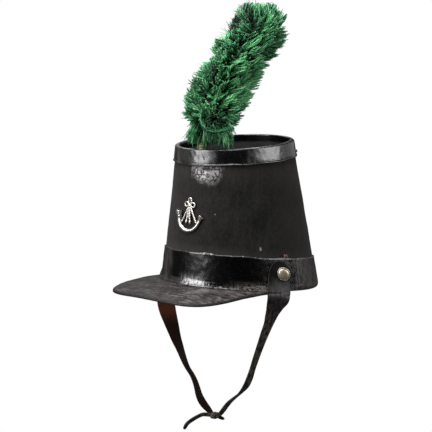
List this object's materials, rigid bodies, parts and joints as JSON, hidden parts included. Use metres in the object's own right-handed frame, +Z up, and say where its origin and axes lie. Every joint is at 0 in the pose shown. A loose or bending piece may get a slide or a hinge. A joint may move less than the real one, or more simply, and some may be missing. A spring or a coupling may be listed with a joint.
{
  "type": "shako hat",
  "caption": "Tall tapered felt shako with leather bands, a squared peak, a horn badge, a wool plume and a chin strap tied in a knot below.",
  "frame": {"origin": "centre of the head opening, in the plane of the rim", "axes": "+Z up along the crown, -Y towards the peak at the front, +X towards the wearer's left"},
  "size_m": [0.1753, 0.2681, 0.4807],
  "materials": {
    "felt": "matt black wool felt",
    "band_leather": "glossy black leather",
    "peak_leather": "worn dull black leather",
    "strap_leather": "black leather with a brown flesh side",
    "dark_metal": "black lacquered metal",
    "button_metal": "worn white metal",
    "silver": "silver-coloured cast metal",
    "plume_wool": "green wool tuft",
    "stem_thread": "wound linen thread"
  },
  "bodies": {
    "root": {"crown_body": "felt", "crown_top": "band_leather", "top_band": "band_leather", "band_stud": "dark_metal", "lower_band": "band_leather", "peak": "peak_leather", "strap_left": "strap_leather", "strap_right": "strap_leather", "strap_knot": "strap_leather", "strap_button_left": "button_metal", "strap_button_right": "button_metal", "badge": "silver", "plume": "plume_wool", "plume_stem": "stem_thread"}
  },
  "joints": []
}
